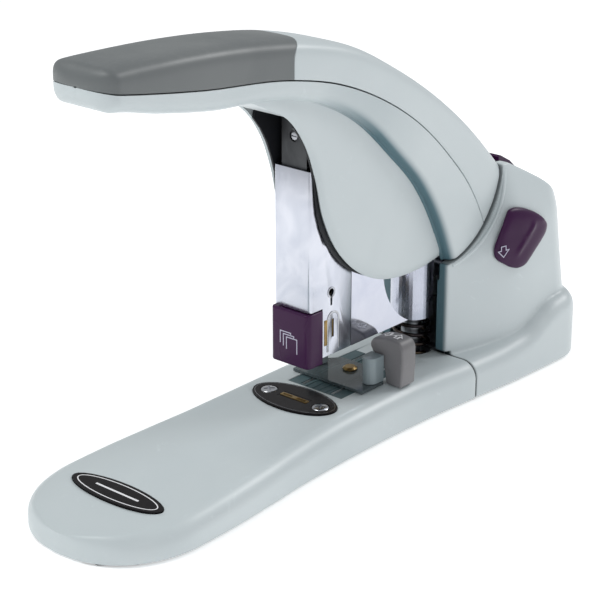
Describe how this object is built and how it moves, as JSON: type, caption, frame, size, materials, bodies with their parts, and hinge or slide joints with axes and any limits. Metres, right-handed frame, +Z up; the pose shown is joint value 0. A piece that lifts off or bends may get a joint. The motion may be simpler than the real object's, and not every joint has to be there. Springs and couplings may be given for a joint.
{
  "type": "heavy-duty stapler",
  "caption": "Desk stapler with a long padded lever handle, a steel head over a sprung post, a front staple drawer, a sliding paper stop and a jam release.",
  "frame": {"origin": "on the desk surface, under the middle of the base", "axes": "+Z up from the desk, -Y towards the nose of the base and of the handle, +X to the side that carries the paper stop's knob"},
  "size_m": [0.084, 0.3376, 0.206],
  "materials": {
    "pale_plastic": "satin pale grey moulding",
    "soft_grip": "soft matt grey overmould",
    "purple_plastic": "dark purple, satin gloss",
    "bright_steel": "bright polished sheet",
    "plain_steel": "plain zinc-plated",
    "black_steel": "black oxide",
    "chrome": "mirror",
    "brass": "satin",
    "black_plate": "gloss black plate",
    "mat_rubber": "matt",
    "knob_plastic": "satin warm grey",
    "guide_plastic": "smoky grey"
  },
  "bodies": {
    "base": {"base_cover": "pale_plastic", "base_mat": "mat_rubber", "base_plate": "plain_steel", "nose_badge": "black_plate", "anvil_plate": "black_plate", "anvil_insert": "brass", "anvil_screw_left": "bright_steel", "anvil_screw_right": "bright_steel", "rear_housing": "pale_plastic", "steel_yoke": "plain_steel", "yoke_bolt_front_left": "plain_steel", "yoke_bolt_front_right": "plain_steel", "yoke_bolt_rear_left": "plain_steel", "yoke_bolt_rear_right": "plain_steel", "handle_pin": "bright_steel", "guide_post": "plain_steel", "main_spring": "black_steel"},
    "handle": {"handle_top_cover": "pale_plastic", "grip_pad": "soft_grip", "handle_side_left": "pale_plastic", "handle_side_right": "pale_plastic", "handle_frame": "black_steel", "roller_axle": "bright_steel", "press_roller": "bright_steel", "handle_bar": "plain_steel"},
    "head": {"sheath": "bright_steel", "magazine_frame": "bright_steel", "head_pin_lower": "bright_steel", "head_pin_upper": "bright_steel", "spring_cup": "chrome"},
    "driver": {"driver_blade": "black_steel", "driver_carrier": "black_steel", "driver_screw": "bright_steel"},
    "drawer": {"drawer_cap": "purple_plastic", "drawer_channel": "brass", "staple_rail": "bright_steel", "drawer_latch": "plain_steel"},
    "pusher": {"staple_pusher": "black_plate", "pusher_spring": "bright_steel"},
    "guide": {"guide_bar": "guide_plastic", "guide_rivet": "brass", "guide_stop_left": "guide_plastic", "guide_stop_right": "guide_plastic", "guide_knob": "knob_plastic"},
    "release": {"release_button_left": "purple_plastic", "release_button_right": "purple_plastic", "release_shaft": "bright_steel", "release_tab": "purple_plastic"}
  },
  "joints": [
    {"name": "handle_hinge", "type": "hinge", "parent": "base", "child": "handle", "pos_m": [0, 0.067, 0.114], "axis": [1, 0, 0], "range_deg": [0, 24], "stiffness_Nm_per_rad": 4, "springref_deg": -20.05},
    {"name": "head_slide", "type": "slide", "parent": "base", "child": "head", "axis": [0, 0, -1], "range_m": [0, 0.0166], "deforming": ["main_spring"]},
    {"name": "driver_slide", "type": "slide", "parent": "head", "child": "driver", "axis": [0, 0, -1], "range_m": [0, 0.0179]},
    {"name": "drawer_slide", "type": "slide", "parent": "head", "child": "drawer", "axis": [0, -1, 0], "range_m": [0, 0.046]},
    {"name": "pusher_slide", "type": "slide", "parent": "drawer", "child": "pusher", "axis": [0, 1, 0], "range_m": [0, 0.026], "stiffness_N_per_m": 60, "springref_m": -0.03},
    {"name": "guide_slide", "type": "slide", "parent": "base", "child": "guide", "axis": [0, 1, 0], "range_m": [-0.009, 0.026]},
    {"name": "release_hinge", "type": "hinge", "parent": "base", "child": "release", "pos_m": [0, 0.127, 0.08], "axis": [1, 0, 0], "range_deg": [0, 8], "stiffness_Nm_per_rad": 0.8, "springref_deg": -8.59}
  ],
  "couplings": [
    {"joint": "head_slide", "follows": "handle_hinge", "m_per_rad": 0.039391},
    {"joint": "driver_slide", "follows": "handle_hinge", "m_per_rad": 0.042494}
  ]
}
